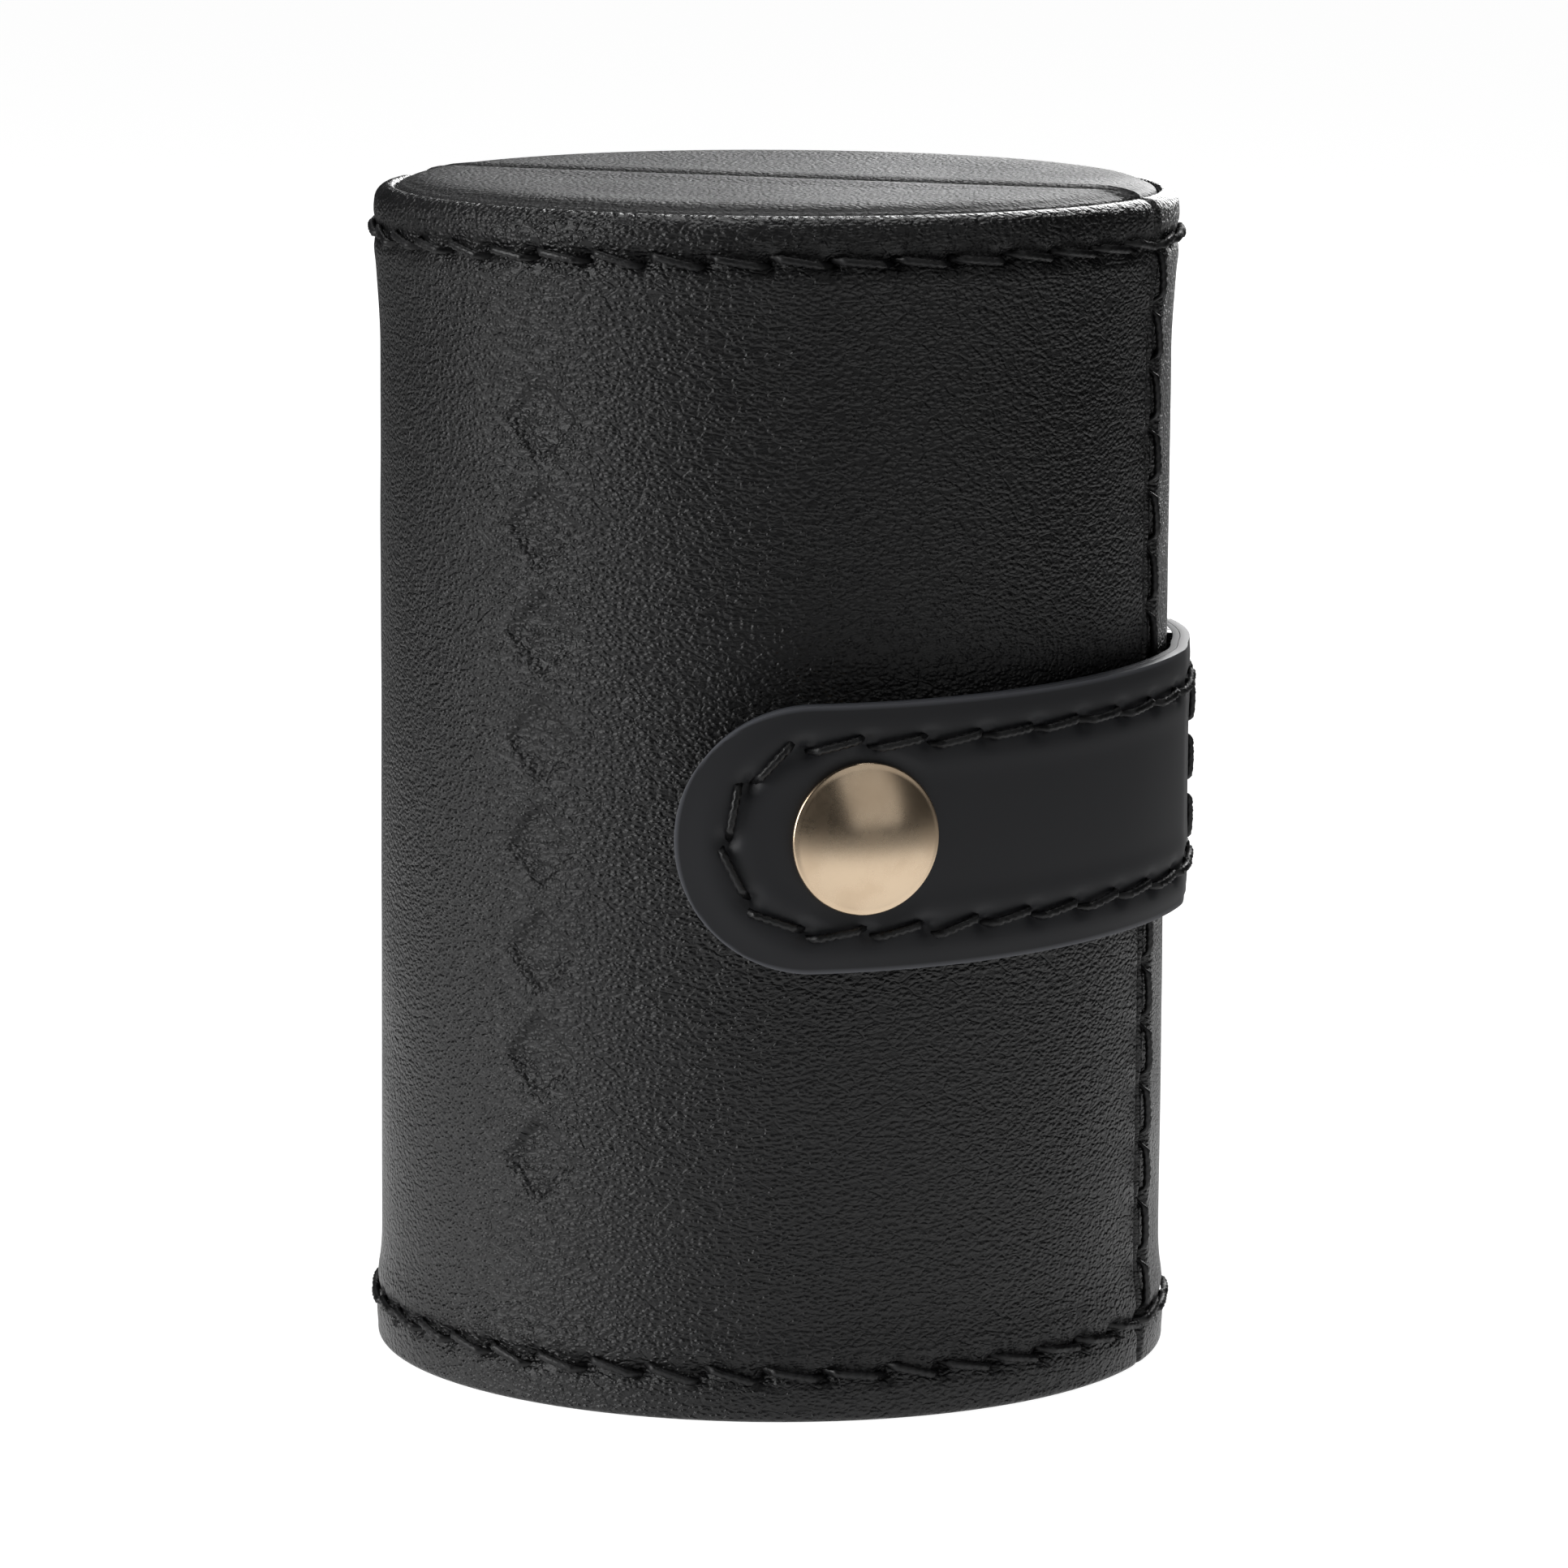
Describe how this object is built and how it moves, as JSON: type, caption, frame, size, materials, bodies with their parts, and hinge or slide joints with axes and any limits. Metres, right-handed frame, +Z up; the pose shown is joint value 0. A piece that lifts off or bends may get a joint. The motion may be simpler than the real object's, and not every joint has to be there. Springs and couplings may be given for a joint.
{
  "type": "cylindrical travel jewelry case",
  "caption": "Small round leather travel case for jewelry that opens like a book on a leather hinge and shuts with a snap strap.",
  "frame": {"origin": "centre of the base, on the case's axis, where it stands", "axes": "+Z up the case's axis, Y = 0 is the parting plane, back half at +Y, front half at -Y, hinge at -X, opening edge and strap at +X"},
  "size_m": [0.0679, 0.0701, 0.0956],
  "materials": {
    "black_leather": "satin",
    "backing_leather": "matte",
    "suede": "matte",
    "elastic": "matte",
    "greyboard": "matte",
    "foam": "matte",
    "thread": "satin",
    "gold": "satin",
    "snap_brass": "satin",
    "spring_steel": "satin"
  },
  "bodies": {
    "back_half": {"back_wrap": "black_leather", "back_wall_board": "greyboard", "back_top_board": "greyboard", "back_top_pad": "foam", "back_top_cover": "black_leather", "back_bottom_board": "greyboard", "back_bottom_cover": "black_leather", "back_lining": "suede", "lower_shelf": "suede", "upper_shelf": "suede", "back_rim_stitching": "thread", "opening_edge_stitching": "thread", "strap_anchor": "black_leather", "strap_root_stitching": "thread", "hinge_spine": "black_leather"},
    "front_half": {"front_wrap": "black_leather", "front_wall_board": "greyboard", "front_top_board": "greyboard", "front_top_pad": "foam", "front_top_cover": "black_leather", "front_bottom_board": "greyboard", "front_bottom_cover": "black_leather", "front_lining": "suede", "ring_rolls": "suede", "pocket_shelf": "suede", "jewelry_pocket": "suede", "pocket_binding": "elastic", "front_rim_stitching": "thread", "snap_stud": "snap_brass", "stud_eyelet": "snap_brass"},
    "strap": {"strap_outer": "black_leather", "strap_backing": "backing_leather", "strap_stitching": "thread", "snap_cap": "gold", "snap_socket": "snap_brass", "snap_spring": "spring_steel"}
  },
  "joints": [
    {"name": "case_open", "type": "hinge", "parent": "back_half", "child": "front_half", "pos_m": [-0.0331, 0, 0.04745], "axis": [0, 0, -1], "range_deg": [0, 180], "deforming": ["hinge_spine"]},
    {"name": "strap_swing", "type": "hinge", "parent": "back_half", "child": "strap", "pos_m": [0.0321, 0.01251, 0.0472], "axis": [0, 0, 1], "range_deg": [0, 130], "deforming": ["strap_outer", "strap_backing", "strap_stitching", "snap_cap", "snap_socket", "snap_spring"]}
  ]
}
